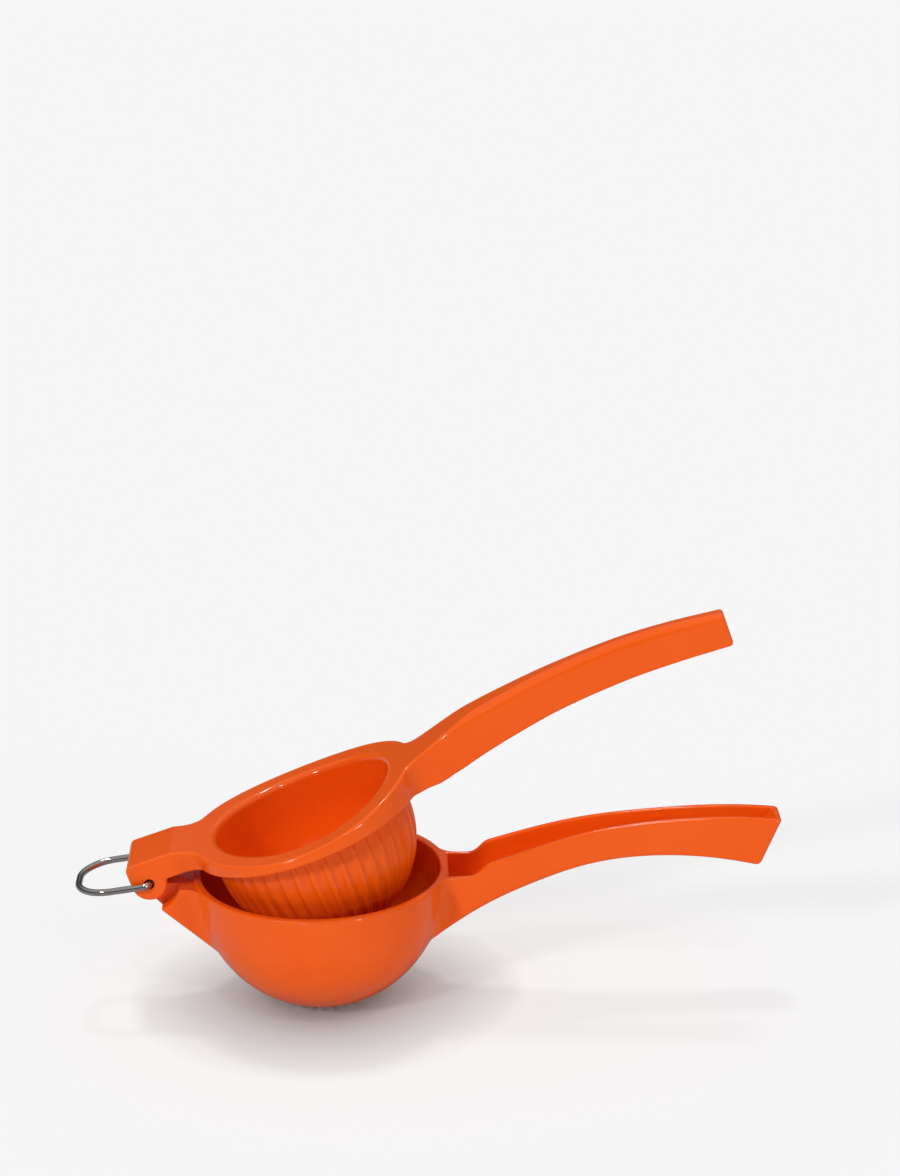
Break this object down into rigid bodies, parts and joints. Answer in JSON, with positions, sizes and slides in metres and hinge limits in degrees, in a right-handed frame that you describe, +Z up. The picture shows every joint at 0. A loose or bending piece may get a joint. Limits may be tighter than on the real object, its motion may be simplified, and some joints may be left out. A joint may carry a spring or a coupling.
{
  "type": "citrus press",
  "caption": "Hand-held citrus press: a perforated cup lever and a fluted dome lever hinged on one pin, with a wire hanging loop.",
  "frame": {"origin": "centre of the cup's flat base, on its underside", "axes": "+Z up, square to the cup's rim; +X from the cup along both handles; Y across, parallel to the hinge pin"},
  "size_m": [0.2587, 0.0936, 0.1451],
  "materials": {
    "enamel": "gloss",
    "pin_steel": "satin",
    "loop_wire": "polished"
  },
  "bodies": {
    "cup_lever": {"cup_lever": "enamel"},
    "press_lever": {"press_lever": "enamel", "hinge_pin": "pin_steel"},
    "hanging_loop": {"hanging_loop": "loop_wire"}
  },
  "joints": [
    {"name": "press_hinge", "type": "hinge", "parent": "cup_lever", "child": "press_lever", "pos_m": [-0.062, 0, 0.05118], "axis": [0, -1, 0], "range_deg": [-17.6, 91.7]},
    {"name": "loop_swing", "type": "hinge", "parent": "cup_lever", "child": "hanging_loop", "pos_m": [-0.062, 0, 0.05118], "axis": [0, -1, 0], "range_deg": [-40, 100]}
  ]
}
